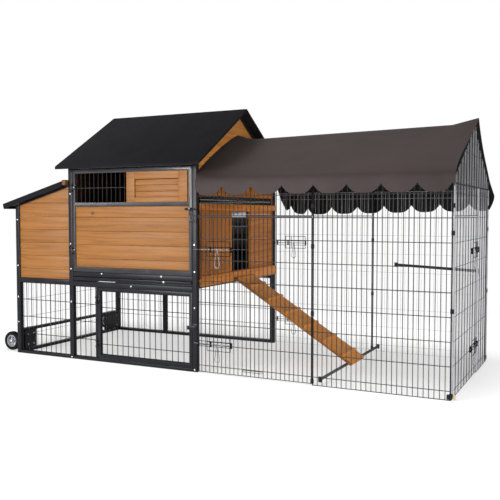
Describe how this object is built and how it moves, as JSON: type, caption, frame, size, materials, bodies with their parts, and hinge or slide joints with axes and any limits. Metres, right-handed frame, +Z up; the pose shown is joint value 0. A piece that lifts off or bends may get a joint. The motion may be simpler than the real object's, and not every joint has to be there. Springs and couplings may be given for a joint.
{
  "type": "chicken tractor",
  "caption": "wheeled hen house on a tube frame, with a lidded nest box, doors, a ramp and a wire run under a scalloped cloth cover",
  "frame": {"origin": "on the ground under the middle of the overall box", "axes": "+X from the wheels to the run's end, +Y from front to rear, +Z up"},
  "size_m": [3.1085, 1.258, 1.64],
  "materials": {
    "frame": "satin charcoal powder coat",
    "wood": "stained fir boards, satin",
    "shade_wood": "stained fir boards, satin",
    "felt": "matte gritty roofing felt",
    "wire": "black powder coat",
    "cloth": "woven dark brown polyester",
    "tyre": "matte rubber",
    "hub": "grey moulded plastic",
    "steel": "zinc plated steel",
    "alu": "mill finish aluminium"
  },
  "bodies": {
    "house": {"posts": "frame", "bottom_rails": "frame", "floor_beams": "frame", "top_rails": "frame", "rafters": "frame", "wheel_brackets": "frame", "door_hinges": "frame", "ramp_pivot": "frame", "perch_rods": "frame", "cover_poles": "frame", "wheel_axles": "steel", "pop_door_rail": "alu", "nest_side_walls": "wood", "nest_end_wall": "wood", "house_rear_wall": "wood", "roost_bar": "wood", "nest_floor": "shade_wood", "nest_batten": "shade_wood", "house_nest_wall": "shade_wood", "house_right_wall": "shade_wood", "gable_boards": "shade_wood", "roof_boards": "shade_wood", "pop_door_guides": "shade_wood", "roof_felt": "felt", "cover": "cloth", "lower_mesh": "wire", "run_front_panel": "wire", "run_rear_panel": "wire", "run_end_panel": "wire", "panel_clips": "wire"},
    "nest_lid": {"nest_lid": "wood", "nest_lid_felt": "felt", "lid_hinge_leaves": "steel"},
    "front_door": {"front_door_frame": "frame", "front_door_panel": "wood", "window_bars": "wire"},
    "window_shutter": {"window_shutter": "wood"},
    "front_door_bolt": {"front_door_bolt": "steel"},
    "dropping_tray": {"dropping_tray": "steel"},
    "lower_door": {"lower_door_frame": "frame", "lower_door_mesh": "wire"},
    "lower_door_button": {"lower_door_button": "steel"},
    "pop_door": {"pop_door": "shade_wood"},
    "ramp": {"ramp": "shade_wood"},
    "front_wheel": {"front_tyre": "tyre", "front_hub": "hub"},
    "rear_wheel": {"rear_tyre": "tyre", "rear_hub": "hub"},
    "front_gate": {"front_gate": "wire", "front_gate_latches": "wire"},
    "front_gate_upper_bolt": {"front_gate_upper_bolt": "wire"},
    "front_gate_lower_bolt": {"front_gate_lower_bolt": "wire"},
    "rear_gate": {"rear_gate": "wire", "rear_gate_latches": "wire"},
    "rear_gate_upper_bolt": {"rear_gate_upper_bolt": "wire"},
    "rear_gate_lower_bolt": {"rear_gate_lower_bolt": "wire"},
    "end_gate": {"end_gate": "wire", "end_gate_latches": "wire"},
    "end_gate_upper_bolt": {"end_gate_upper_bolt": "wire"},
    "end_gate_lower_bolt": {"end_gate_lower_bolt": "wire"}
  },
  "joints": [
    {"name": "nest_lid_hinge", "type": "hinge", "parent": "house", "child": "nest_lid", "pos_m": [-0.97925, 0, 1.178], "axis": [0, 1, 0], "range_deg": [0, 50]},
    {"name": "front_door_hinge", "type": "hinge", "parent": "house", "child": "front_door", "pos_m": [-0.91675, -0.576, 0.90663], "axis": [0, 0, -1], "range_deg": [0, 110]},
    {"name": "window_shutter_slide", "type": "slide", "parent": "front_door", "child": "window_shutter", "axis": [-1, 0, 0], "range_m": [0, 0.385]},
    {"name": "front_door_bolt_slide", "type": "slide", "parent": "front_door", "child": "front_door_bolt", "axis": [-1, 0, 0], "range_m": [0, 0.028]},
    {"name": "dropping_tray_slide", "type": "slide", "parent": "house", "child": "dropping_tray", "axis": [0, -1, 0], "range_m": [0, 0.6]},
    {"name": "lower_door_hinge", "type": "hinge", "parent": "house", "child": "lower_door", "pos_m": [-0.72275, -0.574, 0.2515], "axis": [0, 0, -1], "range_deg": [0, 110]},
    {"name": "lower_door_button_turn", "type": "hinge", "parent": "lower_door", "child": "lower_door_button", "pos_m": [-0.02475, -0.573, 0.26697], "axis": [0, 1, 0], "range_deg": [0, 90]},
    {"name": "pop_door_slide", "type": "slide", "parent": "house", "child": "pop_door", "axis": [0, 1, 0], "range_m": [0, 0.295]},
    {"name": "ramp_hinge", "type": "hinge", "parent": "house", "child": "ramp", "pos_m": [0.05325, 0.007, 0.528], "axis": [0, -1, 0], "range_deg": [0, 50]},
    {"name": "front_wheel_axle", "type": "hinge", "parent": "house", "child": "front_wheel", "pos_m": [-1.48875, -0.529, 0.0695], "axis": [0, 1, 0], "continuous": true},
    {"name": "rear_wheel_axle", "type": "hinge", "parent": "house", "child": "rear_wheel", "pos_m": [-1.48875, 0.529, 0.0695], "axis": [0, 1, 0], "continuous": true},
    {"name": "front_gate_hinge", "type": "hinge", "parent": "house", "child": "front_gate", "pos_m": [0.75425, -0.5675, 0.5], "axis": [0, 0, 1], "range_deg": [0, 110]},
    {"name": "rear_gate_hinge", "type": "hinge", "parent": "house", "child": "rear_gate", "pos_m": [0.75425, 0.5675, 0.5], "axis": [0, 0, -1], "range_deg": [0, 110]},
    {"name": "end_gate_hinge", "type": "hinge", "parent": "house", "child": "end_gate", "pos_m": [1.51875, -0.5675, 0.5], "axis": [0, 0, -1], "range_deg": [0, 110]},
    {"name": "front_gate_upper_bolt_slide", "type": "slide", "parent": "front_gate", "child": "front_gate_upper_bolt", "axis": [1, 0, 0], "range_m": [0, 0.034]},
    {"name": "front_gate_lower_bolt_slide", "type": "slide", "parent": "front_gate", "child": "front_gate_lower_bolt", "axis": [1, 0, 0], "range_m": [0, 0.034]},
    {"name": "rear_gate_upper_bolt_slide", "type": "slide", "parent": "rear_gate", "child": "rear_gate_upper_bolt", "axis": [1, 0, 0], "range_m": [0, 0.034]},
    {"name": "rear_gate_lower_bolt_slide", "type": "slide", "parent": "rear_gate", "child": "rear_gate_lower_bolt", "axis": [1, 0, 0], "range_m": [0, 0.034]},
    {"name": "end_gate_upper_bolt_slide", "type": "slide", "parent": "end_gate", "child": "end_gate_upper_bolt", "axis": [0, -1, 0], "range_m": [0, 0.034]},
    {"name": "end_gate_lower_bolt_slide", "type": "slide", "parent": "end_gate", "child": "end_gate_lower_bolt", "axis": [0, -1, 0], "range_m": [0, 0.034]}
  ]
}
